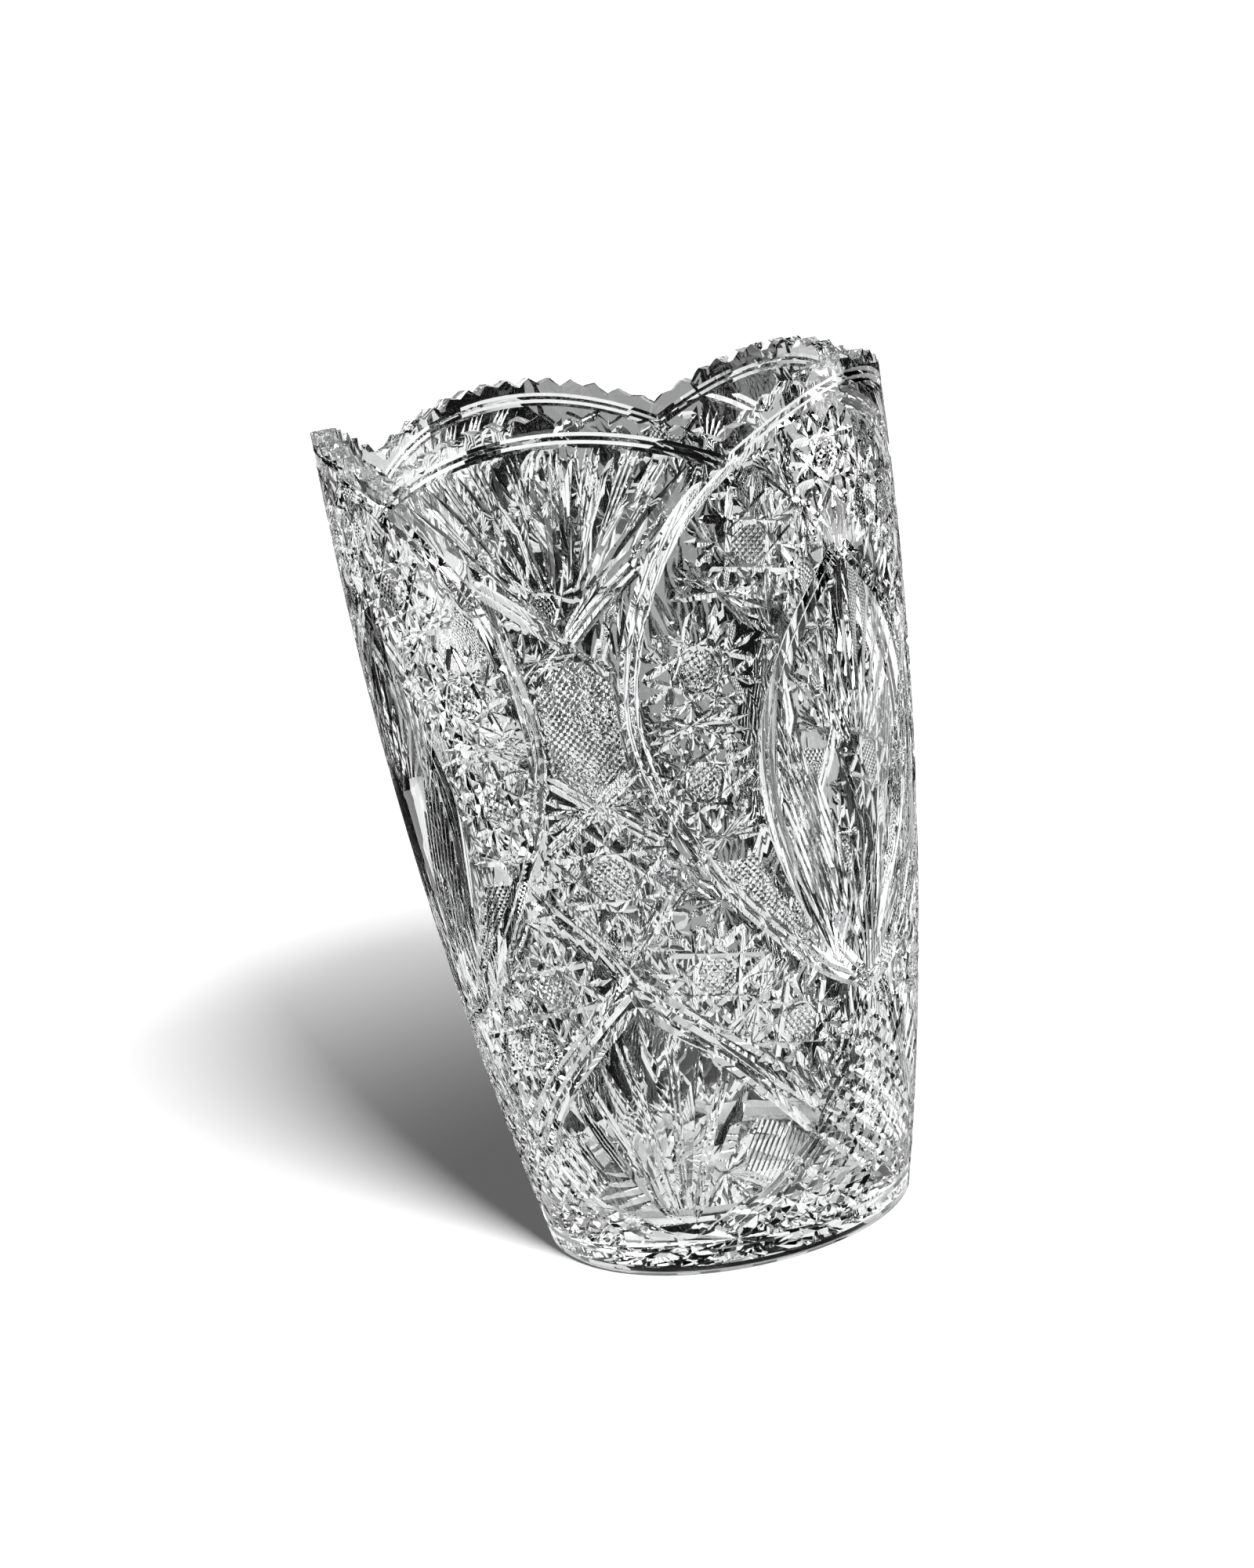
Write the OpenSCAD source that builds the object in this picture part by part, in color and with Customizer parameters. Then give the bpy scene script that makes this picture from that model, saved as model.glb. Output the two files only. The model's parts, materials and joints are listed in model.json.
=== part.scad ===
// Cut crystal vase: one barrel-shaped blank of glass, named here region by region.
// Millimetres, +Z up, origin at the middle of the foot, one cut panel facing -Y.

/* [Vase] */
// Height to the crests of the rim
height = 265; // [200:1:320]
// Outside diameter at the top of the rim
rim_d = 172; // [140:1:210]
// Outside diameter at the foot
base_d = 116; // [95:1:140]
// How far the side bulges out past a straight line from foot to rim
belly = 7; // [3:0.5:12]
// Thickness of the wall
wall = 7; // [5:0.5:10]

/* [Foot] */
// Thickness of glass under the inside of the vase
base_t = 16; // [12:0.5:24]
// Radius of the round corner inside, where floor meets wall
corner_r = 10; // [6:1:14]
// Width of the ground ring that the vase stands on
ring_w = 10; // [6:1:14]
// Bevel round the outer edge of the foot
foot_bevel = 1.2; // [0.5:0.1:2]
// How far the star under the foot is set up from the ground ring
recess = 1.5; // [1:0.1:3]
// Mitre cuts that cross to make the star, each giving two points
star_cuts = 12; // [6:1:16]
// Depth of the star's mitre cuts
star_depth = 2.5; // [1.5:0.1:4]

/* [Rim] */
// Scallops round the rim
scallops = 5; // [4:1:8]
// Drop from a scallop's crest to the notch beside it
notch_drop = 15; // [10:0.5:18]
// Saw teeth along each scallop, an even number so that they go in pairs
teeth = 14; // [8:2:16]
// Depth of the valleys between pairs of teeth
tooth_depth = 3.2; // [2:0.1:4]
// How far the notch between two scallops is cut below the lowest valley
notch_cut = 1; // [0.5:0.1:2]
// Depth of the nick that parts the two teeth of a pair
nick_depth = 2; // [1:0.1:2.5]

/* [Regions] */
// Height where the block-cut foot band gives way to the lower panels
foot_band = 58; // [45:1:80]
// Height where the lower panels meet the upper ones
waist = 148; // [110:1:170]
// Glass kept below the notches in the rim's own region
collar = 8; // [5:0.5:12]

/* [Hidden] */
glass = [0.86, 0.9, 0.93, 0.45];
fine = 180;
arc_fn = 1440;
eps = 0.01;
r_foot = base_d / 2;
r_rim = rim_d / 2;
// The side is one long arc through the foot, the bulge and the rim.
chord = norm([r_rim - r_foot, height]);
arc_r = (chord * chord / 4 + belly * belly) / (2 * belly);
arc_x = (r_foot + r_rim) / 2 - (arc_r - belly) * height / chord;
arc_z = height / 2 + (arc_r - belly) * (r_rim - r_foot) / chord;
function outside(z) = arc_x + sqrt(pow(arc_r, 2) - pow(z - arc_z, 2));
function inside(z) = arc_x + sqrt(pow(arc_r - wall, 2) - pow(z - arc_z, 2));
z_base = base_t + corner_r;
z_collar = height - notch_drop - collar;
scallop_step = 360 / scallops;
half_span = r_rim * sin(scallop_step / 2);
scallop_r = (half_span * half_span + notch_drop * notch_drop) / (2 * notch_drop);
scallop_z = height - scallop_r;
// Degrees left between two scallops' cuts, which the notch clears away
web = 0.2;
tooth_step = scallop_step / teeth;
function edge(a) = scallop_z + sqrt(pow(scallop_r, 2) - pow(r_rim * sin(a), 2));
function gap(j) = j % 2 == 1 ? 0 : (j % 4 == 0 ? tooth_depth : nick_depth);
// The sawn edge of one scallop, seen from outside: tips on odd steps, valleys on even.
crest_line = [for (j = [0:2 * teeth]) let(a = (j - teeth) * tooth_step / 2)
  [r_rim * sin(a), edge(a) - gap(j)]];

module barrel_side(shrink, z0, z1) {
  intersection() {
    translate([arc_x, arc_z]) circle(r = arc_r - shrink, $fn = arc_fn);
    translate([0, z0]) square([rim_d, z1 - z0]);
  }
}

module wall_ring(z0, z1) {
  rotate_extrude($fn = fine) difference() {
    barrel_side(0, z0, z1);
    barrel_side(wall, z0 - 1, z1 + 1);
  }
}

module round_floor() {
  r_in = inside(z_base);
  translate([0, base_t]) square([r_in - corner_r, corner_r + eps]);
  translate([r_in - corner_r, z_base]) intersection() {
    circle(r = corner_r, $fn = fine);
    translate([-corner_r, -corner_r]) square([2 * corner_r, corner_r + eps]);
  }
}

module mitre(length, depth) {
  rotate([90, 0, 90]) translate([0, 0, -length / 2]) linear_extrude(length)
    polygon([[-depth, -eps], [depth, -eps], [0, depth]]);
}

module star_base() {
  color(glass) difference() {
    rotate_extrude($fn = fine) difference() {
      barrel_side(0, 0, z_base);
      round_floor();
      translate([r_foot - foot_bevel, 0]) polygon([[0, -eps], [foot_bevel + 1, -eps],
        [foot_bevel + 1, foot_bevel + 1 + eps]]);
    }
    translate([0, 0, -1]) cylinder(r = r_foot - ring_w, h = recess + 1, $fn = fine);
    intersection() {
      union() for (i = [0:star_cuts - 1])
        rotate(i * 180 / star_cuts) translate([0, 0, recess]) mitre(base_d, star_depth);
      cylinder(r = r_foot - ring_w, h = base_t, $fn = fine);
    }
  }
}

module foot_wall() {
  color(glass) wall_ring(z_base, foot_band);
}

module lower_panels() {
  color(glass) wall_ring(foot_band, waist);
}

module upper_panels() {
  color(glass) wall_ring(waist, z_collar);
}

module scallop_sector() {
  reach = 2 * rim_d;
  side = reach * tan(scallop_step / 2 - web);
  linear_extrude(2 * height) polygon([[0, 0], [reach, -side], [reach, side]]);
}

module above_teeth() {
  far_x = half_span + wall;
  low_z = crest_line[0][1];
  outline = concat([[-far_x, low_z]], crest_line, [[far_x, low_z], [far_x, 2 * height],
    [-far_x, 2 * height]]);
  rotate([90, 0, 90]) linear_extrude(rim_d) polygon(outline);
}

module notch() {
  rise = notch_drop + 2 * tooth_depth;
  rotate([90, 0, 90]) translate([0, height - notch_drop - tooth_depth - notch_cut, r_rim / 2])
    linear_extrude(rim_d) polygon([[0, 0], [rise, rise], [-rise, rise]]);
}

module saw_rim() {
  color(glass) difference() {
    wall_ring(z_collar, height);
    for (i = [0:scallops - 1]) rotate(i * scallop_step - 90) {
      intersection() {
        above_teeth();
        scallop_sector();
      }
      rotate(scallop_step / 2) notch();
    }
  }
}

star_base();
foot_wall();
lower_panels();
upper_panels();
saw_rim();
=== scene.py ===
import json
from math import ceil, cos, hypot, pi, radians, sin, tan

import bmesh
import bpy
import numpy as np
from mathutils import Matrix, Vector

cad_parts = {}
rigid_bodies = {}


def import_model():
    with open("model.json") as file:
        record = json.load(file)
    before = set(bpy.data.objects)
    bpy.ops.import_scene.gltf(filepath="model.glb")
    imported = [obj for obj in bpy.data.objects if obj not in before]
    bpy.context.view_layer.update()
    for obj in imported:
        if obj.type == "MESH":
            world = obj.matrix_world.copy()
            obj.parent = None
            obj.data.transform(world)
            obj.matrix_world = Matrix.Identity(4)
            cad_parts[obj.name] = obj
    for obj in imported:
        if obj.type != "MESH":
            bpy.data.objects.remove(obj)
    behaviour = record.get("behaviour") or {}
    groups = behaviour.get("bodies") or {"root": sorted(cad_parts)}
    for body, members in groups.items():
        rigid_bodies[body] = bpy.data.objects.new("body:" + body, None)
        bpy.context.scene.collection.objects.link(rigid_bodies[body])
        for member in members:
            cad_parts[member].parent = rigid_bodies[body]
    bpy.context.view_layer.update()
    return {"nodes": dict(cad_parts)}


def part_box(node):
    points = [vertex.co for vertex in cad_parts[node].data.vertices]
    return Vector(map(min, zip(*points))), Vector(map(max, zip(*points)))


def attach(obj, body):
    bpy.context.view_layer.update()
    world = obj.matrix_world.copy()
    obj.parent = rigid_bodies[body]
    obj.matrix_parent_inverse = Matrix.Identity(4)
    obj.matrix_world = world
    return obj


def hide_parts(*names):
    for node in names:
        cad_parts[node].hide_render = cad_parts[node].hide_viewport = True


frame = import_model()

# %% [markdown]
# # A cut crystal vase
# The real vase is one piece of heavy glass. It is blown as a plain barrel, cooled, and then
# ground: a stone wheel with a V edge takes out every line of the pattern, and an acid bath
# polishes the cuts until they are as bright as the rest. Here the same order is kept. The blank
# is spun from a profile, all the wheel cuts are made as thin V bars, and one Boolean takes
# them away. Real cuts, not a bump map, are needed, because glass bends the light in each of
# them. Sizes are in millimetres while the pattern is drawn and in metres in Blender.

MM = 0.001


def only(piece):
    """Select one object and nothing else, and make it the active one."""
    bpy.ops.object.select_all(action="DESELECT")
    piece.select_set(True)
    bpy.context.view_layer.objects.active = piece


print("nodes in the frame:", ", ".join(frame["nodes"]))

# %% [markdown]
# ## The blank's outline
# The side is one long arc, so that the barrel swells a little on its way from the foot to the
# rim. The arc goes through the foot and the rim, and bulges by BELLY between them. The same
# arc, set in by the wall, is the inside. Everything that is cut later asks these functions
# where the surface is, so the pattern follows the glass whatever its shape.

# %% Sizes of the blank
HEIGHT = float(round(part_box("saw_rim")[1][2] / MM))
R_RIM = float(round(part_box("saw_rim")[1][0] / MM))
R_FOOT, BELLY, WALL = 58.0, 7.0, 7.0
FLOOR_T, CORNER_R, FOOT_BEVEL = 16.0, 10.0, 1.2
CHORD = hypot(R_RIM - R_FOOT, HEIGHT)
ARC_R = (CHORD ** 2 / 4 + BELLY ** 2) / (2 * BELLY)
ARC_X = (R_FOOT + R_RIM) / 2 - (ARC_R - BELLY) * HEIGHT / CHORD
ARC_Z = HEIGHT / 2 + (ARC_R - BELLY) * (R_RIM - R_FOOT) / CHORD
print(f"blank {HEIGHT:.0f} mm tall, side arc radius {ARC_R:.0f} mm")

# %% Points on the side, from degrees round and millimetres up


def side_r(h, depth=0.0):
    """Radius of the side at height h, or of a surface that lies depth under it."""
    return ARC_X + np.sqrt((ARC_R - depth) ** 2 - (h - ARC_Z) ** 2)


def side_frame(a, h):
    """Point and outward normal on the side; 0 degrees is the middle of the front panel."""
    a, h = np.radians(np.asarray(a, float)), np.asarray(h, float)
    r = side_r(h)
    nr, nz = (r - ARC_X) / ARC_R, (h - ARC_Z) / ARC_R
    point = np.stack([r * np.sin(a), -r * np.cos(a), h], -1)
    return point, np.stack([nr * np.sin(a), -nr * np.cos(a), nz], -1)


def beside(a, h, dx, dz):
    """The place dx mm along and dz mm above a place on the side."""
    return (a + dx / (side_r(h) * pi / 180), h + dz)


base_x, _, base_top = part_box("star_base")[1]
print(f"radius at the top of the base: {side_r(base_top / MM):.2f} mm by the arc, "
      f"{base_x / MM:.2f} mm in the frame")

# %% [markdown]
# ## Spinning the blank
# A blower makes the blank in a mould, so it is round everywhere. The profile is drawn with one
# vertex that is extruded from point to point, along the foot, up the outside, over the rim,
# down the inside and round the corner to the middle of the floor. A spin of a full turn then
# sweeps it round the axis. The rows are close enough that no flat shows on the outline, and no
# closer, because each row crosses thousands of cuts and adds faces to every one of them.

# %% Profile of the blank
SPIN_STEPS, SIDE_ROWS, INSIDE_ROWS, CORNER_ROWS = 108, 20, 14, 5
WELD = 2e-6


def blank_profile():
    """Radius and height of each point, from the middle of the foot to the middle of the floor."""
    outside = [(side_r(h), h) for h in np.linspace(0, HEIGHT, SIDE_ROWS)]
    outside[:1] = [(R_FOOT - FOOT_BEVEL, 0.0), (side_r(FOOT_BEVEL), FOOT_BEVEL)]
    corner_z = FLOOR_T + CORNER_R
    corner_x = side_r(corner_z, WALL) - CORNER_R
    inside = [(side_r(h, WALL), h) for h in np.linspace(HEIGHT, corner_z, INSIDE_ROWS)]
    corner = [(corner_x + CORNER_R * cos(t), corner_z - CORNER_R * sin(t))
              for t in np.linspace(0, pi / 2, CORNER_ROWS)[1:]]
    foot, floor = [(0.0, 0.0), (R_FOOT / 2, 0.0)], [(R_FOOT / 2, FLOOR_T), (0.0, FLOOR_T)]
    return foot + outside + inside + corner + floor


print("points in the profile:", len(blank_profile()))

# %% Draw the profile and spin it
bpy.ops.object.select_all(action="DESELECT")
bpy.ops.mesh.primitive_plane_add(size=MM)
vase = bpy.context.object
vase.name = vase.data.name = "cut_crystal_vase"
bpy.ops.object.mode_set(mode="EDIT")
bpy.ops.mesh.merge(type="CENTER")
pen = Vector((0, 0, 0))
for r, h in blank_profile()[1:]:
    move = Vector((0, -r * MM, h * MM)) - pen
    bpy.ops.mesh.extrude_vertices_move(TRANSFORM_OT_translate={"value": move})
    pen += move
bpy.ops.mesh.select_all(action="SELECT")
bpy.ops.mesh.spin(steps=SPIN_STEPS, angle=2 * pi, center=(0, 0, 0), axis=(0, 0, 1))
bpy.ops.mesh.select_all(action="SELECT")
bpy.ops.mesh.remove_doubles(threshold=WELD)
bpy.ops.mesh.normals_make_consistent(inside=False)
bpy.ops.object.mode_set(mode="OBJECT")


def report(piece, stage):
    """Say whether the mesh is closed, how much glass it holds and how many triangles it has."""
    mesh = bmesh.new()
    mesh.from_mesh(piece.data)
    closed = all(edge.is_manifold for edge in mesh.edges)
    litres, triangles = mesh.calc_volume() * 1000, len(mesh.calc_loop_triangles())
    mesh.free()
    print(f"{stage}: closed {closed}, {litres:.3f} litres of glass, {triangles} triangles")


report(vase, "blank")

# %% [markdown]
# ## The ripple of blown glass
# Only the outside touches the mould. The inside is free glass, and it keeps a slow, shallow
# ripple that makes what is seen through it swim a little. A Displace modifier moves the inner
# wall by a fraction of a millimetre with a soft cloud texture. The rim and the floor's corner
# are left out, because the rim is ground flat later.

# %% Ripple the inner wall
RIPPLE, RIPPLE_SPREAD, RIM_CLEAR = 0.5, 30.0, 40.0
inner_wall = vase.vertex_groups.new(name="inner_wall")
reach = [v.index for v in vase.data.vertices
         if FLOOR_T + CORNER_R < v.co.z / MM < HEIGHT - RIM_CLEAR
         and hypot(v.co.x, v.co.y) / MM < side_r(v.co.z / MM) - WALL / 2]
inner_wall.add(reach, 1.0, "REPLACE")
clouds = bpy.data.textures.new("blowing_ripple", "CLOUDS")
clouds.noise_scale, clouds.noise_depth = RIPPLE_SPREAD * MM, 0
only(vase)
ripple = vase.modifiers.new("ripple", "DISPLACE")
ripple.texture, ripple.texture_coords = clouds, "LOCAL"
ripple.strength, ripple.mid_level, ripple.vertex_group = RIPPLE * MM, 0.5, "inner_wall"
bpy.ops.object.modifier_apply(modifier="ripple")
vase.vertex_groups.clear()
print("vertices moved by the ripple:", len(reach))

# %% [markdown]
# ## The line of the rim
# The top edge is five scallops: arcs that meet in sharp notches. The collar is the double line
# that is cut under it, and follows it at an even distance. No cut of the body's pattern may
# cross the collar, so each cut is stopped short of the height that the collar has there.

# %% Rim and collar
SCALLOPS, NOTCH_DROP, TEETH, COLLAR = 5, 15.0, 14, 7.4
SCALLOP = 360 / SCALLOPS
HALF_SPAN = R_RIM * sin(radians(SCALLOP / 2))
SCALLOP_R = (HALF_SPAN ** 2 + NOTCH_DROP ** 2) / (2 * NOTCH_DROP)


def crest(a):
    """Height of the plain edge, before its teeth are cut, at a degrees round."""
    across = R_RIM * np.sin(np.radians((np.asarray(a, float) + SCALLOP / 2) % SCALLOP
                                       - SCALLOP / 2))
    return HEIGHT - SCALLOP_R + np.sqrt(SCALLOP_R ** 2 - across ** 2)


def collar(a):
    """Height of the collar's middle, which no cut of the body's pattern may cross."""
    return crest(a) - COLLAR


print("crest", float(crest(0)), "notch", round(float(crest(SCALLOP / 2)), 1))

# %% [markdown]
# ## The mitre wheel
# A cutter presses the glass against a wheel with a V edge. The deeper the wheel goes, the wider
# the cut, so width and depth always keep the same ratio. A cut that lifts off slowly ends in a
# point, and a cut that is deepest past its middle is a kite. Each cut is a V bar that follows
# a path on the side: its keel lies under the surface, its flat top just above.
# The bars are sorted into racks in which no two touch, because a Boolean takes a whole rack
# in one go only if the bars in it are apart.

# %% A bar for one cut
# Three wheels, each by the tangent of the angle between its middle plane and its flank.
STEEP, MITRE, BROAD = tan(radians(46)), tan(radians(56)), tan(radians(63))
ROUND_STEP, TALL_STEP = 4.6, 24.0


def resample(path, around=ROUND_STEP):
    """Add points where the side curves: often on the way round, seldom on the way up."""
    path = np.asarray(path, float)
    r = side_r(path[:, 1].mean())
    out = [path[0]]
    for p, q in zip(path[:-1], path[1:]):
        n = max(1, ceil(abs(q[0] - p[0]) * pi / 180 * r / around),
                ceil(abs(q[1] - p[1]) / TALL_STEP))
        out += [p + (q - p) * (i + 1) / n for i in range(n)]
    return np.array(out)


def bar(path, half, lift, wheel=MITRE):
    """Closed V bar along a path: half is its half width at the surface at each point."""
    P, N = side_frame(path[:, 0], path[:, 1])
    T = np.gradient(P, axis=0)
    S = np.cross(T, N)
    S /= np.linalg.norm(S, axis=1)[:, None]
    half = np.asarray(half, float)[:, None]
    top = half + wheel * lift
    verts = np.stack([P - N * half / wheel, P + N * lift + S * top, P + N * lift - S * top], 1)
    last = 3 * (len(path) - 1)
    faces = [(0, 1, 2), (last, last + 2, last + 1)]
    for o in range(0, last, 3):
        faces += [(o, o + 3, o + 4, o + 1), (o + 1, o + 4, o + 5, o + 2), (o + 2, o + 5, o + 3, o)]
    return verts.reshape(-1, 3), faces


print("a cut 2 mm wide is", round(1 / MITRE, 2), "or", round(1 / BROAD, 2), "mm deep")

# %% A cut with its ends, kept under the collar
KITE_WIDEST = 0.62
SHORTEST, SHALLOW = 1.0, 0.3


def under_collar(path, gap):
    """The longest stretch of a path that stays below the collar."""
    keep = list(path[:, 1] <= collar(path[:, 0]) - gap) + [False]
    runs, start = [(0, 0)], None
    for i, k in enumerate(keep):
        if k and start is None:
            start = i
        elif not k and start is not None:
            runs.append((i - start, start))
            start = None
    n, first = max(runs)
    return path[first:first + n]


def cut(path, width, ends="point", lift=0.5, taper=3.0, gap=0.8, wheel=MITRE):
    """A V bar along a path, or None if too little of it is under the collar."""
    path = resample(path, ROUND_STEP if lift < SHALLOW else 2 * ROUND_STEP)
    if gap is not None:
        path = under_collar(path, gap)
    if len(path) < 2:
        return None
    P = side_frame(path[:, 0], path[:, 1])[0]
    s = np.r_[0, np.cumsum(np.linalg.norm(np.diff(P, axis=0), axis=1))]
    whole = s[-1]
    if whole < SHORTEST:
        return None
    t = min(taper, whole / 3)
    knots = [KITE_WIDEST * whole] if ends == "kite" else [t, whole - t]
    at = np.unique(np.round(np.r_[s, knots], 6))
    path = np.stack([np.interp(at, s, path[:, 0]), np.interp(at, s, path[:, 1])], 1)
    if ends == "kite":
        share = np.where(at < knots[0], at / knots[0], (whole - at) / (whole - knots[0]))
    else:
        share = np.clip(np.minimum(at, whole - at) / t, 0, 1)
    return bar(path, width / 2 * np.maximum(share, 0), lift, wheel)


print("a kite is widest at", KITE_WIDEST, "of its length")

# %% Racks for the bars
racks = []


def put(bars):
    """Lay bars that don't touch each other in the first rack where they touch nothing."""
    bars = [b for b in bars if b is not None]
    if not bars:
        return
    points = np.vstack([b[0] for b in bars])
    low, high = points.min(0), points.max(0)
    for boxes, items in racks:
        if all((high < b0).any() or (low > b1).any() for b0, b1 in boxes):
            boxes.append((low, high))
            items += bars
            return
    racks.append(([(low, high)], list(bars)))


print("racks so far:", len(racks))

# %% [markdown]
# ## Setting out the pattern
# A cutter marks the blank into three panels before any cut is made, and every panel is a mirror
# image of itself about its own middle line. So each motif is drawn once, on the right half of
# the front panel, and `half_panels` hands out the six places where it goes. What sits on a
# middle line, or between two panels, goes in three places.

# %% The six half panels
PANELS = 3
PANEL = 360 / PANELS


def half_panels():
    """Each yield puts what is drawn on the right half of the front panel in its own place."""
    for k in range(PANELS):
        for side in (1, -1):
            yield lambda path, k=k, side=side: np.asarray(path, float) * [side, 1] + [PANEL * k, 0]


def on_axes(start=0.0):
    """The same for what sits on a middle line, or with a start, between two panels."""
    for k in range(PANELS):
        yield lambda path, k=k: np.asarray(path, float) + [start + PANEL * k, 0]


def curve(points, n=32):
    """A smooth curve through points (Catmull-Rom)."""
    p = np.asarray(points, float)
    p = np.vstack([2 * p[0] - p[1], p, 2 * p[-1] - p[-2]])
    out = []
    for i in range(1, len(p) - 2):
        a, b, c, d = p[i - 1:i + 3]
        for t in np.linspace(0, 1, max(2, n // (len(p) - 3)), endpoint=False):
            out.append(0.5 * (2 * b + (c - a) * t + (2 * a - 5 * b + 4 * c - d) * t * t
                              + (3 * b - a - 3 * c + d) * t ** 3))
    return np.array(out + [p[-2]])


def double(path, place, gap=3.0, width=2.8):
    """Two parallel cuts, which leave a sharp ridge between them."""
    path = curve(path) if len(path) > 2 else resample(path)
    k = side_r(path[:, 1]) * pi / 180
    T = np.gradient(np.stack([path[:, 0] * k, path[:, 1]], 1), axis=0)
    T /= np.linalg.norm(T, axis=1)[:, None]
    across = np.stack([-T[:, 1] / k, T[:, 0]], 1)
    for side in (-0.5, 0.5):
        put([cut(place(path + across * gap * side), width, wheel=STEEP)])


print("places for a motif:", len(list(half_panels())), "or", len(list(on_axes())))

# %% [markdown]
# ## The long bands
# A pair of long curves crosses over each panel and meets its neighbours, and so makes a chain
# of three rings round the vase. Each curve is two mitre cuts side by side with a ridge left
# between them, which catches the light along its whole length. They are set out first, because
# all the other motifs sit in the fields between them.

# %% Bands of the rings and of the foot
OUTER_BAND = [(60, 257), (36, 243), (20, 221), (11, 189), (11.5, 160), (24, 124), (43, 94),
              (60, 80)]
INNER_BAND = [(60, 213), (45, 190.5), (36.5, 164), (36, 140), (42, 113), (51, 92), (60, 80)]
FOOT_BAND = [(57, 82), (50, 62), (42, 43), (33, 32), (22, 22), (10, 14)]
FAN_EDGE = [(0, 200), (8, 211), (17, 221)]
CROSSING, ARMS = (0, 153), ((9.5, 162.5), (13, 139))
BROAD_BAND = [((0, 101.5), (20, 78), (45, 50)), ((0, 91), (20, 67), (39, 40))]
BROAD_MIDDLE = [(0, 96.5), (20, 73), (42, 45)]
BROAD_EDGE_W, BROAD_MIDDLE_W = 3.2, 3.4
for place in half_panels():
    double(OUTER_BAND, place)
    double(INNER_BAND, place)
    double(FOOT_BAND, place, gap=2.4, width=2.2)
    double(FAN_EDGE, place, gap=2.6, width=2.4)
    for arm in ARMS:
        double([CROSSING, arm], place, gap=2.2, width=2.0)
    for edge in BROAD_BAND:
        put([cut(place(curve(edge)), BROAD_EDGE_W, wheel=STEEP)])
    put([cut(place(curve(BROAD_MIDDLE)), BROAD_MIDDLE_W)])
print("bars for the bands:", sum(len(items) for boxes, items in racks))

# %% [markdown]
# ## Crosshatching
# Fields of fine parallel cuts in two directions leave rows of tiny pyramids. From a hand's
# breadth away they read as an even silver grey with a sparkle. The cuts are just narrower than
# their spacing, so that neighbours never touch and a whole field fits in one rack. One
# direction alone gives fine ribbing, and a wide spacing gives the square blocks at the foot.

# %% Fields of parallel cuts
FINE, FINE_LIFT = 1.55, 0.045


def hatch_field(outline, tilt, pitch, place, share=0.86, lift=FINE_LIFT, centre=None):
    """Parallel cuts at tilt degrees that fill an outline."""
    outline = np.asarray(outline, float)
    a0, h0 = outline.mean(0) if centre is None else centre
    k = side_r(h0) * pi / 180
    c, s = cos(radians(tilt)), sin(radians(tilt))
    flat = np.stack([(outline[:, 0] - a0) * k, outline[:, 1] - h0], 1) @ [[c, -s], [s, c]]
    bars = []
    for i in range(ceil(flat[:, 1].min() / pitch), int(flat[:, 1].max() / pitch) + 1):
        v = i * pitch
        sides = zip(flat, np.roll(flat, -1, axis=0))
        xs = sorted(p[0] + (q[0] - p[0]) * (v - p[1]) / (q[1] - p[1])
                    for p, q in sides if (p[1] - v) * (q[1] - v) < 0)
        for x0, x1 in zip(xs[::2], xs[1::2]):
            if x1 - x0 > FINE:
                ends = [(a0 + (x * c - v * s) / k, h0 + x * s + v * c) for x in (x0, x1)]
                bars.append(cut(place(ends), pitch * share, lift=lift, taper=0.8))
    put(bars)


def crosshatch(outline, tilt, pitch, place, **kw):
    for turn in (0, 90):
        hatch_field(outline, tilt + turn, pitch, place, **kw)


print("fine cuts are", FINE, "mm apart")

# %% [markdown]
# ## Hobstars
# The hobstar is the main motif. Eight long cuts join each point of an eight-pointed star to
# the third point on, and leave a raised button in the middle that the cuts go round. The
# button is crosshatched, and a short kite opens outwards between each two points, so that
# little plain glass is left in the field.

# %% A hobstar
POINTS, TIPS_ON = 8, 3
CHORD_W, BUTTON = 2.5, 0.34
VALLEY_FROM, VALLEY_TO, VALLEY_W = 0.55, 1.15, 2.8


def hobstar(a, h, R, spin, place):
    """A star of radius R millimetres round a place, turned by spin degrees."""
    def tip(k, share=1.0):
        t = radians(spin + 360 / POINTS * k)
        return beside(a, h, share * R * cos(t), share * R * sin(t))
    for k in range(POINTS):
        put([cut(place([tip(k), tip(k + TIPS_ON)]), CHORD_W, taper=2)])
    for k in range(POINTS):
        valley = [tip(k + 0.5, VALLEY_FROM), tip(k + 0.5, VALLEY_TO)]
        put([cut(place(valley), VALLEY_W, ends="kite")])
    rim_of_button = [beside(a, h, BUTTON * R * cos(t), BUTTON * R * sin(t))
                     for t in np.radians(np.arange(0, 360, 30) + spin)]
    crosshatch(rim_of_button, spin + 180 / POINTS, FINE, place)


print("a hobstar has", POINTS, "points, each joined to the third one on")

# %% [markdown]
# ## Bundles and kites
# Between two hobstars a bundle of five cuts crosses in one point and spreads to both sides
# like a sheaf. The fans are made of kites, which are deepest near their outer end, with thin
# prongs in the gaps between them.

# %% Bundles, kites and prongs


def bundle(centre, direction, back, ahead, place, spread=10, count=5, width=2.4):
    """Cuts through one point, back and ahead millimetres long, spread degrees apart."""
    for i in range(count):
        d = radians(direction + (i - (count - 1) / 2) * spread)
        ends = [beside(*centre, -back * cos(d), -back * sin(d)),
                beside(*centre, ahead * cos(d), ahead * sin(d))]
        put([cut(place(ends), width, taper=5)])


def kite(p, q, width, place, start=0.0):
    """A broad kite to q, which begins at a share start of the way from p."""
    p, q = np.asarray(p, float), np.asarray(q, float)
    put([cut(place([p + (q - p) * start, q]), width, ends="kite", wheel=BROAD)])


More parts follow.
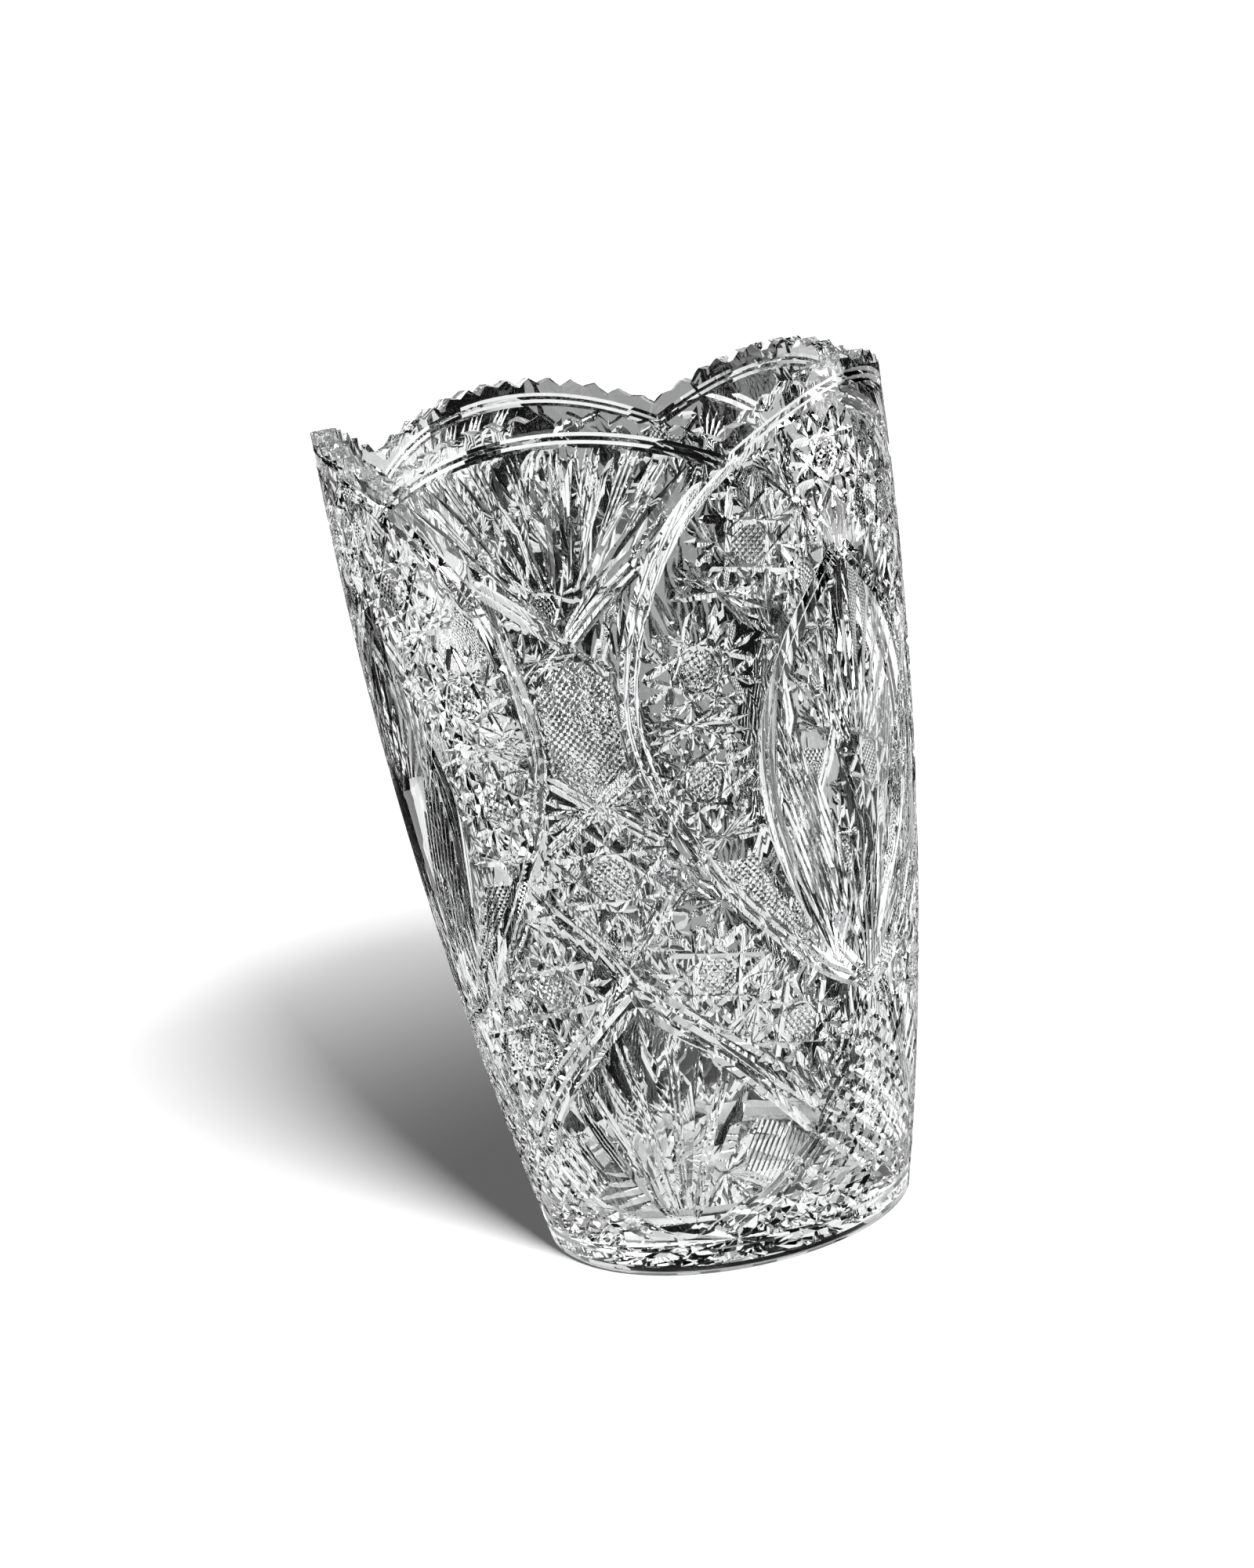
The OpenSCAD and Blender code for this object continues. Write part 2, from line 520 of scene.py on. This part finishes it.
def prongs(p, q, place, spread, start, count=3, width=1.2):
    """Thin cuts side by side to q, whose tips are spread degrees apart."""
    p, q = np.asarray(p, float), np.asarray(q, float)
    for i in range(count):
        tip = q + [(i - (count - 1) / 2) * spread, 0]
        put([cut(place([p + (tip - p) * start, tip]), width, taper=4)])


print("a kite 6 mm wide is", round(3 / BROAD, 2), "mm deep")

# %% [markdown]
# ## Filling the rings
# The band between the two long curves of a ring holds five hobstars on each side, with a bundle
# between each two, and ends at the bottom in a crosshatched tail. Every place is given in
# degrees from the panel's middle line and millimetres above the foot.

# %% Hobstars of the rings: place, radius and turn; place, direction, lengths and spread
RING_STARS = [(38, 219.5, 17.2, 10), (24.7, 187.5, 16.8, 0), (22.3, 155, 15.4, 5),
              (19, 97, 17.2, 12), (37, 76, 16.0, 8)]
RING_BUNDLES = [((49.5, 229.5), 115, 17, 17, 11), ((30.5, 208), -28, 15, 16, 13),
                ((21.5, 172), 0, 14, 17, 14), ((25, 138), 20, 13, 11, 13),
                ((27.5, 86), 52, 15, 15, 11)]
TAIL = [(21.5, 131), (31, 131), (34.5, 120), (39, 109), (44, 99), (40, 101), (33, 110),
        (26.5, 121)]
MID_STAR, SHARED_STAR = (0, 131, 19.0, 22.5), (0, 237.5, 15.6, 22.5)
for place in half_panels():
    for star in RING_STARS:
        hobstar(*star, place)
    for centre, direction, back, ahead, spread in RING_BUNDLES:
        bundle(centre, direction, back, ahead, place, spread=spread)
    crosshatch(TAIL, 40, FINE, place)
for place in on_axes():
    hobstar(*MID_STAR, place)
for place in on_axes(PANEL / 2):
    hobstar(*SHARED_STAR, place)
print("bars so far:", sum(len(items) for boxes, items in racks))

# %% [markdown]
# ## The middle of the panel
# Where the bands come closest, a crosshatched hexagon stands between them with a clear strip on
# each side. Feathers of narrow cuts stand over the two lower crossings. Sprays of small kites
# fill the corners between the stars and the bands, so that no plain patch is left there.

# %% Hexagon, feathers and sprays: each is a root and the tips that its cuts run to
HEXAGON = [(0, 198), (7.6, 189), (7.6, 165), (0, 155.5), (-7.6, 165), (-7.6, 189)]
HEXAGON_EDGE = [(0, 201), (9.0, 190.5), (9.0, 163.5), (0, 153)]
FEATHERS = [((0, 103), 5, [(9, 124), (11.5, 126.5), (14, 129), (16.5, 127)]),
            ((45, 51), 4, [(42.5, 64), (44.5, 68), (46.5, 72), (49, 75)])]
NARROW, FEATHER_W, SPRAY_W = 1.6, 2.0, 2.8
SPRAYS = [((2.8, 152.6), [(11.6, 156.8), (12.3, 151.2), (12.9, 145.6)]),
          ((18.2, 131), [(12.6, 137), (12.4, 130)]),
          ((22.8, 119.5), [(13.4, 121.5), (13.6, 116.2), (18.0, 113.6)]),
          ((9.4, 194), [(8.0, 207), (12.8, 213)]),
          ((42.6, 191), [(35.4, 199), (36.4, 192.4), (36.2, 184)])]
for place in on_axes():
    crosshatch(HEXAGON, 45, FINE, place)
for place in half_panels():
    for p, q in zip(HEXAGON_EDGE[:-1], HEXAGON_EDGE[1:]):
        put([cut(place([p, q]), NARROW)])
    for root, taper, tips in FEATHERS:
        for tip in tips:
            put([cut(place([root, tip]), FEATHER_W, taper=taper)])
    for root, tips in SPRAYS:
        for tip in tips:
            kite(root, tip, SPRAY_W, place)
print("sprays in a half panel:", len(SPRAYS))

# %% [markdown]
# ## The fans
# The top of each panel is a fan that opens from one point up to the collar, and the bottom is
# a second fan that rises from the foot. Broad kites and groups of thin prongs take turns. The
# kites are cut deep, and so they turn from black to white as the vase is turned.

# %% Upper and lower fan: kites by their tip and width, prongs by their tip
UPPER_HEART, LOWER_HEART = 208.0, 13.0
UPPER_KITES = [(8, 6.6), (15.5, 6.4), (22.5, 5.8), (29, 4.6)]
UPPER_PRONGS, UPPER_MIDDLE_W = (4, 11.8, 19, 25.8), 6.6
UPPER_START, ROOT_LEAN, ROOT_RISE = 0.12, 0.12, 0.1
KITE_CLEAR, PRONG_CLEAR = 2.5, 1.5
HEART_FEATHER, HEART_TIPS = (0, 203), ((4, 211), (7, 216), (11, 220))
LOWER_KITES = [((12.5, 76), 7.6), ((23, 62), 6.6), ((30, 29), 4.2)]
LOWER_PRONGS, LOWER_START = ((6.2, 82), (17.8, 68)), 0.1
LOWER_MIDDLE, LOWER_MIDDLE_W = (0, 89), 7.6
FAN_SIDE = ((22, 62), (39, 42), 3.4)


def under_rim(a, place, clear):
    """The place at a degrees that is clear millimetres below the collar, as drawn."""
    return (a, collar(place([(a, 0)])[0][0]) - clear)


for place in half_panels():
    for a, width in UPPER_KITES:
        root = (a * ROOT_LEAN, UPPER_HEART + a * ROOT_RISE)
        kite(root, under_rim(a, place, KITE_CLEAR), width, place, start=UPPER_START)
    for a in UPPER_PRONGS:
        prongs((a * ROOT_LEAN, UPPER_HEART), under_rim(a, place, PRONG_CLEAR), place,
               spread=1.25, start=0.5)
    for tip in HEART_TIPS:
        put([cut(place([HEART_FEATHER, tip]), NARROW)])
    for tip, width in LOWER_KITES:
        kite((0.6, LOWER_HEART), tip, width, place, start=LOWER_START)
    for tip in LOWER_PRONGS:
        prongs((0.5, LOWER_HEART), tip, place, spread=2.0, start=0.12, count=2, width=1.4)
    kite(*FAN_SIDE, place)
for place in on_axes():
    kite((0, UPPER_HEART), under_rim(0, place, KITE_CLEAR), UPPER_MIDDLE_W, place,
         start=UPPER_START)
    kite((0, LOWER_HEART), LOWER_MIDDLE, LOWER_MIDDLE_W, place, start=LOWER_START)
print("kites in the upper fan:", 2 * len(UPPER_KITES) + 1)

# %% [markdown]
# ## The almond inside each ring
# The inner curves of a ring enclose a tall almond. Two ribbed petals stand in it, and kites
# fan up and down from its ends. Its centre is left clear, so that one looks straight through.

# %% Petals and kites of the almond
PETAL = [(39.2, 171), (45, 156), (51.5, 133), (53.5, 118), (51, 104), (46, 108), (41, 120),
         (38.6, 135), (38, 152)]
ALMOND_UP = [((42.8, 181), 3.2), ((46.8, 189), 3.6), ((50.8, 196), 3.6), ((55.2, 203), 3.8)]
ALMOND_DOWN = [((44, 136), 3.0), ((49.5, 126), 3.2), ((54.5, 132), 3.2)]
UP_FROM, DOWN_FROM, KNOT, KNOT_W = 150, 84, 81, 3.0
UP_START, DOWN_START, KNOT_START = 0.15, 0.12, 0.1
PETAL_TILT, PETAL_PITCH = 107, 1.8
for place in half_panels():
    hatch_field(PETAL, PETAL_TILT, PETAL_PITCH, place, share=0.84)
    for tip, width in ALMOND_UP:
        kite((59.4, UP_FROM), tip, width, place, start=UP_START)
    for tip, width in ALMOND_DOWN:
        kite((59.5, DOWN_FROM), tip, width, place, start=DOWN_START)
    for tip in ((51, 66), (55.5, 68)):
        kite((60, KNOT), tip, KNOT_W, place, start=KNOT_START)
for place in on_axes(PANEL / 2):
    kite((0, UP_FROM), (0, 208), 4.2, place, start=UP_START)
    kite((0, DOWN_FROM), (0, 134), 3.4, place, start=DOWN_START)
    kite((0, KNOT), (0, 66), KNOT_W, place, start=KNOT_START)
print("bars so far:", sum(len(items) for boxes, items in racks))

# %% [markdown]
# ## The foot and the collar
# Between the lower fans the foot is cut into square blocks, by the same crossed cuts as the
# hatching, only deeper and wider apart. A ribbed field stands beside each lower fan. One cut
# runs right round above the foot, and the double line of the collar follows the scallops.

# %% Blocks, ribs, foot line and collar
RIBS = [(23.5, 50), (30, 47), (37.5, 39.5), (32, 32), (25, 26), (18, 33)]
BLOCKS = [(60, 70), (53, 62), (47, 48.5), (39, 37), (31, 28), (20, 18), (20, 10.5), (60, 10.5)]
RIB_TILT, RIB_PITCH, BLOCK_SIZE, FOOT_LINE = 62, 1.6, 5.2, 8.0
COLLAR_GAP, COLLAR_W, PAST_NOTCH = 2.2, 2.2, 1.5
for place in half_panels():
    hatch_field(RIBS, RIB_TILT, RIB_PITCH, place, share=0.84)
    crosshatch(BLOCKS, 45, BLOCK_SIZE, place, share=0.5, lift=0.4, centre=BLOCKS[-1])
for k in range(PANELS):
    a = np.linspace(k * PANEL, (k + 1) * PANEL, 60)
    put([cut(np.stack([a, a * 0 + FOOT_LINE], 1), 2.0, taper=2)])
for k in range(SCALLOPS):
    a = np.linspace(-SCALLOP / 2 - PAST_NOTCH, SCALLOP / 2 + PAST_NOTCH, 30)
    on_arc = np.clip(a, -SCALLOP / 2, SCALLOP / 2)
    slope = (crest(SCALLOP / 2 - 0.5) - crest(SCALLOP / 2)) / 0.5
    line = collar(on_arc) - slope * (np.abs(a) - np.abs(on_arc))
    for step in (-COLLAR_GAP / 2, COLLAR_GAP / 2):
        put([cut(np.stack([a + k * SCALLOP, line + step], 1), COLLAR_W, gap=None)])
print("racks:", len(racks), "bars:", sum(len(items) for boxes, items in racks))

# %% [markdown]
# ## The sawn rim and the star in the foot
# The rim's teeth are ground one by one. They come in pairs: a deep valley, a tooth, a shallow
# nick and a second tooth, and they shrink towards the notches. The tool for them is one closed
# ring whose underside has that zigzag. The foot stands on a flat ground ring. Inside the ring
# it is hollowed a little, and a star of twenty-four long points is cut into the hollow.

# %% Tools for the rim and the foot
TOOTH_DEEP, TOOTH_NICK, OUTSIDE_SLOPE, OUTSIDE_SHARE = 3.2, 2.0, 0.3, 0.8
SMALLEST_BITE, STOPS_TO_FULL = 0.35, 6
RING_W, RECESS, STAR_POINTS = 10.0, 1.5, 24
RAY_FROM, RAY_WIDEST, RAY_SHORT = 1.5, 30, 2
RAY_HALF, RAY_LIFT = (0.15, 3.4, 0.05), 0.5
CLEAR_ABOVE, CLEAR_BELOW = 20, 5


def ring_tool(angles, low_in, low_out, r_in, r_out, top):
    """Closed ring with a zigzag underside, which may differ between its inside and outside."""
    a, n = np.radians(angles), len(angles)
    corners = ((r_in, low_in), (r_out, low_out), (r_out, np.full(n, top)), (r_in, np.full(n, top)))
    verts = [np.stack([r * np.sin(a), -r * np.cos(a), z], 1) for r, z in corners]
    faces = [(k * n + i, (k + 1) % 4 * n + i, (k + 1) % 4 * n + (i + 1) % n, k * n + (i + 1) % n)
             for k in range(4) for i in range(n)]
    return np.vstack(verts), faces


def disc_tool(r, low, high, n=96):
    """Closed upright cylinder."""
    a = np.linspace(0, 2 * pi, n, endpoint=False)
    ring = np.stack([r * np.sin(a), -r * np.cos(a), a * 0 + low], 1)
    sides = [(i, n + i, n + (i + 1) % n, (i + 1) % n) for i in range(n)]
    caps = [tuple(range(n)), tuple(range(2 * n - 1, n - 1, -1))]
    return np.vstack([ring, ring + [0, 0, high - low]]), caps + sides


def star_ray(turn):
    """A long V bar on the underside, widest past its middle."""
    t = radians(turn)
    out, side = np.array([sin(t), -cos(t), 0]), np.array([cos(t), sin(t), 0])
    reach = np.array([RAY_FROM, RAY_WIDEST, R_FOOT - RING_W - RAY_SHORT])[:, None]
    half = np.array(RAY_HALF)[:, None]
    line, top = reach * out + [0, 0, RECESS], half + MITRE * RAY_LIFT
    verts = np.stack([line + [0, 0, 1] * half / MITRE, line - [0, 0, RAY_LIFT] - side * top,
                      line - [0, 0, RAY_LIFT] + side * top], 1).reshape(-1, 3)
    faces = [(0, 1, 2), (6, 8, 7)]
    for o in (0, 3):
        faces += [(o, o + 3, o + 4, o + 1), (o + 1, o + 4, o + 5, o + 2), (o + 2, o + 5, o + 3, o)]
    return verts, faces


stops = np.arange(SCALLOPS * TEETH * 2)
angles = (stops - TEETH) * SCALLOP / TEETH / 2
in_scallop = stops % (2 * TEETH)
bite = np.where(in_scallop % 2 == 1, 0.0, np.where(in_scallop % 4 == 0, TOOTH_DEEP, TOOTH_NICK))
from_notch = np.minimum(in_scallop, 2 * TEETH - in_scallop)
bite = bite * np.clip(SMALLEST_BITE + from_notch / STOPS_TO_FULL, SMALLEST_BITE, 1)
outside_line = crest(angles) - OUTSIDE_SHARE * bite - OUTSIDE_SLOPE
rim_tool = ring_tool(angles, crest(angles) - bite, outside_line,
                     R_RIM - 2 * WALL, R_RIM + WALL, HEIGHT + CLEAR_ABOVE)
foot_tool = disc_tool(R_FOOT - RING_W, -CLEAR_BELOW, RECESS)
print("teeth round the rim:", SCALLOPS * TEETH, "rays under the foot:", STAR_POINTS)

# %% [markdown]
# ## Grinding
# Every rack becomes one object of loose bars, all racks go into one collection, and one Boolean
# modifier takes the whole collection from the blank. The Manifold solver is used because it
# is fast with thousands of crossing cuts and always leaves a closed mesh. The star is ground
# after the hollow, in a second pass, since its rays meet in the middle.

# %% Take the cuts away


def tool_object(name, items, collection):
    """One object of loose closed bars, with all their faces turned outwards."""
    verts, faces, offset = [], [], 0
    for v, f in items:
        verts.append(v)
        faces += [tuple(i + offset for i in face) for face in f]
        offset += len(v)
    mesh = bpy.data.meshes.new(name)
    mesh.from_pydata((np.vstack(verts) * MM).tolist(), [], faces)
    tidy = bmesh.new()
    tidy.from_mesh(mesh)
    bmesh.ops.recalc_face_normals(tidy, faces=tidy.faces)
    tidy.to_mesh(mesh)
    tidy.free()
    collection.objects.link(bpy.data.objects.new(name, mesh))


def grind(piece, groups, name):
    """Take all groups of bars from a piece with one Boolean modifier."""
    rack = bpy.data.collections.new(name)
    bpy.context.scene.collection.children.link(rack)
    for n, items in enumerate(groups):
        tool_object(f"{name}_{n}", items, rack)
    only(piece)
    wheel = piece.modifiers.new(name, "BOOLEAN")
    wheel.operand_type, wheel.collection = "COLLECTION", rack
    wheel.operation, wheel.solver = "DIFFERENCE", "MANIFOLD"
    bpy.ops.object.modifier_apply(modifier=name)
    for tool in list(rack.objects):
        bpy.data.objects.remove(tool)
    bpy.data.collections.remove(rack)
    report(piece, name)


grind(vase, [items for boxes, items in racks] + [[rim_tool], [foot_tool]], "mitre_wheel")
rays = [[star_ray((k + 0.5) * 360 / STAR_POINTS)] for k in range(STAR_POINTS)]
grind(vase, rays, "star_wheel")

# %% [markdown]
# ## Smooth blank, sharp cuts
# The blank's own faces meet at three or four degrees and should look like one curved surface,
# while the faces of a cut meet at a steep angle and must stay crisp. Smoothing by angle does
# both: only edges flatter than the limit are shaded as if they were round.

# %% Smooth by angle
FLATTEST_CREASE = radians(9)
only(vase)
print("faulty faces mended:", vase.data.validate())
bpy.ops.object.shade_smooth_by_angle(angle=FLATTEST_CREASE)
print("faces:", len(vase.data.polygons))

# %% [markdown]
# ## Lead crystal
# Lead glass bends light more than window glass does, which is what makes the cuts sparkle, and
# it is almost without colour. Cuts and walls are acid polished to a perfect gloss. Only the
# ground ring under the foot stays satin, and it carries fine scuffs from shelves and tables.
# The finish reads the height above the foot on Object coordinates, so it needs no unwrapping.

# %% The crystal's material
LEAD_IOR, TINT = 1.56, (0.985, 0.99, 0.992, 1)
SATIN_FROM, SATIN_TO, SCUFF_SCALE, RING_TOP = 0.25, 0.5, 900.0, 0.1
crystal = bpy.data.materials.new("lead_crystal")
crystal.use_nodes = True
nodes, links = crystal.node_tree.nodes, crystal.node_tree.links
glass = nodes["Principled BSDF"]
glass.inputs["Base Color"].default_value = TINT
glass.inputs["IOR"].default_value = LEAD_IOR
glass.inputs["Transmission Weight"].default_value = 1.0
coords = nodes.new("ShaderNodeTexCoord")
split = nodes.new("ShaderNodeSeparateXYZ")
scuffs = nodes.new("ShaderNodeTexNoise")
scuffs.inputs["Scale"].default_value = SCUFF_SCALE
satin = nodes.new("ShaderNodeMapRange")
satin.inputs["To Min"].default_value = SATIN_FROM
satin.inputs["To Max"].default_value = SATIN_TO
on_ring = nodes.new("ShaderNodeMath")
on_ring.operation = "LESS_THAN"
on_ring.inputs[1].default_value = RING_TOP * MM
rough = nodes.new("ShaderNodeMath")
rough.operation = "MULTIPLY"
links.new(coords.outputs["Object"], split.inputs[0])
links.new(coords.outputs["Object"], scuffs.inputs["Vector"])
links.new(scuffs.outputs["Fac"], satin.inputs["Value"])
links.new(split.outputs["Z"], on_ring.inputs[0])
links.new(on_ring.outputs[0], rough.inputs[0])
links.new(satin.outputs["Result"], rough.inputs[1])
links.new(rough.outputs[0], glass.inputs["Roughness"])
vase.data.materials.clear()
vase.data.materials.append(crystal)
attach(vase, "root")
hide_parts("star_base", "foot_wall", "lower_panels", "upper_panels", "saw_rim")
print("index of refraction", LEAD_IOR)

# %% [markdown]
# ## A studio for glass
# Clear glass has no look of its own: it shows what stands round it. On a white sweep alone it
# turns pale and flat. So the glass is given its own surroundings, near black with white
# softboxes in it, and every facet then shows either the one or the other. The softboxes are
# seen only by reflected and refracted rays, and the pale floor only by the camera, so that
# each can be set without spoiling the other. The floor curves up into a wall on all sides,
# and carries painted light: it glows faintly next to the vase and more with distance, which
# keeps the shadow beside the vase dark and the far parts as pale as the near ones.

# %% Floor
VIEW_TURN = radians(13.43)
CENTRE = Vector((0, 0, 0.13))
RAYS = ("camera", "diffuse", "glossy", "transmission", "shadow")


def seen_from_camera(right, away, up):
    """A place given to the right of, away behind and above the vase's foot."""
    return Matrix.Rotation(VIEW_TURN, 3, "Z") @ Vector((right, away, up))


def staged(name, verts, faces, material, rays):
    """A piece of the studio that only the named kinds of ray can see."""
    mesh = bpy.data.meshes.new(name)
    mesh.from_pydata([tuple(v) for v in verts], [], faces)
    piece = bpy.data.objects.new(name, mesh)
    bpy.context.scene.collection.objects.link(piece)
    mesh.materials.append(material)
    for ray in RAYS:
        setattr(piece, "visible_" + ray, ray in rays)
    return piece


def glowing(name, color, strength):
    """A dull material that gives off white light."""
    material = bpy.data.materials.new(name)
    material.use_nodes = True
    shader = material.node_tree.nodes["Principled BSDF"]
    shader.inputs["Base Color"].default_value = (*color, 1)
    shader.inputs["Roughness"].default_value = 0.8
    shader.inputs["Specular IOR Level"].default_value = 0.0
    shader.inputs["Emission Color"].default_value = (1, 1, 1, 1)
    shader.inputs["Emission Strength"].default_value = strength
    return material


FLOOR_R, COVE_R, WALL_TOP, FLOOR_SIDES = 1.3, 0.5, 1.8, 96
# Painted light: the floor's glow is faint next to the vase and strong far off. It lights nothing
# and only the camera sees it.
NEAR_GLOW, FAR_GLOW, GLOW_START, GLOW_END = 0.12, 0.9, 0.1, 0.6
cove = [(FLOOR_R + COVE_R * sin(t), COVE_R - COVE_R * cos(t)) for t in np.linspace(0, pi / 2, 13)]
profile = cove + [(FLOOR_R + COVE_R, WALL_TOP)]
turns = np.linspace(0, 2 * pi, FLOOR_SIDES, endpoint=False)
verts = [(0, 0, 0)] + [(r * cos(t), r * sin(t), z) for r, z in profile for t in turns]
faces = [(0, 1 + i, 1 + (i + 1) % FLOOR_SIDES) for i in range(FLOOR_SIDES)]
for k in range(len(profile) - 1):
    low, high = 1 + k * FLOOR_SIDES, 1 + (k + 1) * FLOOR_SIDES
    faces += [(low + i, high + i, high + (i + 1) % FLOOR_SIDES, low + (i + 1) % FLOOR_SIDES)
              for i in range(FLOOR_SIDES)]
# The floor's pale grey, plus painted light: a glow that grows with distance from the foot.
pale = glowing("floor_painted_glow", (0.8, 0.8, 0.8), 0.0)
nodes, links = pale.node_tree.nodes, pale.node_tree.links
place_on = nodes.new("ShaderNodeTexCoord")
distance = nodes.new("ShaderNodeVectorMath")
distance.operation = "LENGTH"
glow = nodes.new("ShaderNodeMapRange")
glow.interpolation_type = "SMOOTHSTEP"
for socket, value in (("From Min", GLOW_START), ("From Max", GLOW_END),
                      ("To Min", NEAR_GLOW), ("To Max", FAR_GLOW)):
    glow.inputs[socket].default_value = value
links.new(place_on.outputs["Object"], distance.inputs[0])
links.new(distance.outputs["Value"], glow.inputs["Value"])
links.new(glow.outputs["Result"], nodes["Principled BSDF"].inputs["Emission Strength"])
floor = staged("floor", verts, faces, pale, ("camera",))
for polygon in floor.data.polygons:
    polygon.use_smooth = True
print("floor is", 2 * (FLOOR_R + COVE_R), "m across")

# %% [markdown]
# ## Softboxes
# Each softbox is a white rectangle that faces the vase. Large ones behind and beside it give the
# bright facets, the gaps between them the black ones, and three narrow strips straight behind
# keep what is seen through the plain glass from being one flat grey. The last four stand in
# front, are weak and hardly show from the camera. They are there for a look from behind.

# %% Softboxes: degrees round from straight behind, degrees up, metres away, size, strength
SOFTBOXES = {
    "back_left": (-40, 22, 1.2, 1.1, 0.9, 1.1),
    "overhead": (0, 80, 1.2, 1.1, 1.1, 1.9),
    "right": (80, 20, 1.0, 0.45, 1.0, 3.2),
    "left": (-95, 15, 1.0, 0.5, 1.0, 2.4),
    "front_left": (-150, 30, 1.1, 0.7, 0.6, 2.2),
    "low_right": (50, -25, 1.0, 0.8, 0.6, 1.2),
    "low_left": (-60, -30, 1.0, 0.8, 0.6, 1.0),
    "below": (10, -70, 1.0, 0.9, 0.7, 0.7),
    "back_high": (12, 30, 1.2, 0.8, 0.4, 1.0),
    "back_low": (-5, -38, 1.1, 0.8, 0.4, 0.9),
    "back_1": (-11, -6, 1.25, 0.16, 0.6, 0.75),
    "back_2": (1, -6, 1.25, 0.14, 0.6, 0.35),
    "back_3": (11, -6, 1.25, 0.1, 0.6, 0.6),
    "front_high": (170, 32, 1.2, 0.9, 0.4, 0.8),
    "front_low": (188, -36, 1.1, 0.8, 0.4, 0.6),
    "front_1": (168, -4, 1.3, 0.16, 0.6, 0.6),
    "front_2": (190, -4, 1.3, 0.2, 0.6, 0.5),
}
for name, (turn, rise, away, width, height, strength) in SOFTBOXES.items():
    t, e = radians(turn), radians(rise)
    where = CENTRE + seen_from_camera(away * cos(e) * sin(t), away * cos(e) * cos(t),
                                      away * sin(e))
    facing = (CENTRE - where).normalized()
    side = facing.cross(Vector((0, 0, 1))).normalized()
    up = side.cross(facing)
    corners = [where + side * (i * width / 2) + up * (k * height / 2)
               for i, k in ((-1, -1), (1, -1), (1, 1), (-1, 1))]
    cloth = glowing(name + "_cloth", (0, 0, 0), strength)
    staged("softbox_" + name, corners, [(0, 1, 2, 3)], cloth, ("glossy", "transmission"))
print("softboxes:", len(SOFTBOXES))

# %% Key light, and the dark room
KEY_WATTS, KEY_SIZE, KEY_PLACE, KEY_AIM = 45.0, 0.35, (0.38, -1.05, 1.0), Vector((0, 0, 0.1))
ROOM_GREY = 0.006
lamp = bpy.data.lights.new("key", "AREA")
lamp.energy, lamp.shape, lamp.size = KEY_WATTS, "SQUARE", KEY_SIZE
key = bpy.data.objects.new("key", lamp)
bpy.context.scene.collection.objects.link(key)
key.location = seen_from_camera(*KEY_PLACE)
key.rotation_euler = (KEY_AIM - key.location).to_track_quat("-Z", "Y").to_euler()
key.visible_transmission = key.visible_glossy = False
room = bpy.data.worlds.new("dark_room")
room.use_nodes = True
room.node_tree.nodes["Background"].inputs["Color"].default_value = (*[ROOM_GREY] * 3, 1)
bpy.context.scene.world = room
print("key light is", round(key.location.length, 2), "m from the foot")

# %% [markdown]
# ## Camera
# The camera stands a little to the right of the front panel's middle and looks slightly down
# into the mouth. It is tilted to one side, so that the vase leans in the picture although it
# stands upright on its foot. Glass needs many bounces, because a ray passes four surfaces on
# its way through the vase, and is thrown to and fro inside the cuts besides. Caustics are off:
# they only add bright specks to the floor.

# %% Place the camera
AWAY, EYE, LENS, SENSOR = 0.856, 0.328, 64.76, 36.0
GLASS_BOUNCES, GLOSS_BOUNCES = 24, 8
pan, pitch, roll = radians(-0.67), radians(12.32), radians(-9.75)
look = Vector((sin(pan) * cos(pitch), cos(pan) * cos(pitch), -sin(pitch)))
right = look.cross(Vector((0, 0, 1))).normalized()
up = right.cross(look)
axes = [right * cos(roll) + up * sin(roll), up * cos(roll) - right * sin(roll), -look]
turned = [seen_from_camera(*axis) for axis in axes]
camera = bpy.data.objects.new("camera", bpy.data.cameras.new("camera"))
bpy.context.scene.collection.objects.link(camera)
camera.data.sensor_fit, camera.data.sensor_width, camera.data.lens = "AUTO", SENSOR, LENS
camera.data.clip_start = 0.01
camera.matrix_world = Matrix(turned).transposed().to_4x4()
camera.location = seen_from_camera(0, -AWAY, EYE)
bpy.context.scene.camera = camera
cycles = bpy.context.scene.cycles
cycles.max_bounces = cycles.transmission_bounces = GLASS_BOUNCES
cycles.glossy_bounces = GLOSS_BOUNCES
cycles.caustics_reflective = cycles.caustics_refractive = False
bpy.context.scene.view_settings.view_transform = "Standard"
print("camera at", [round(v, 3) for v in camera.location])
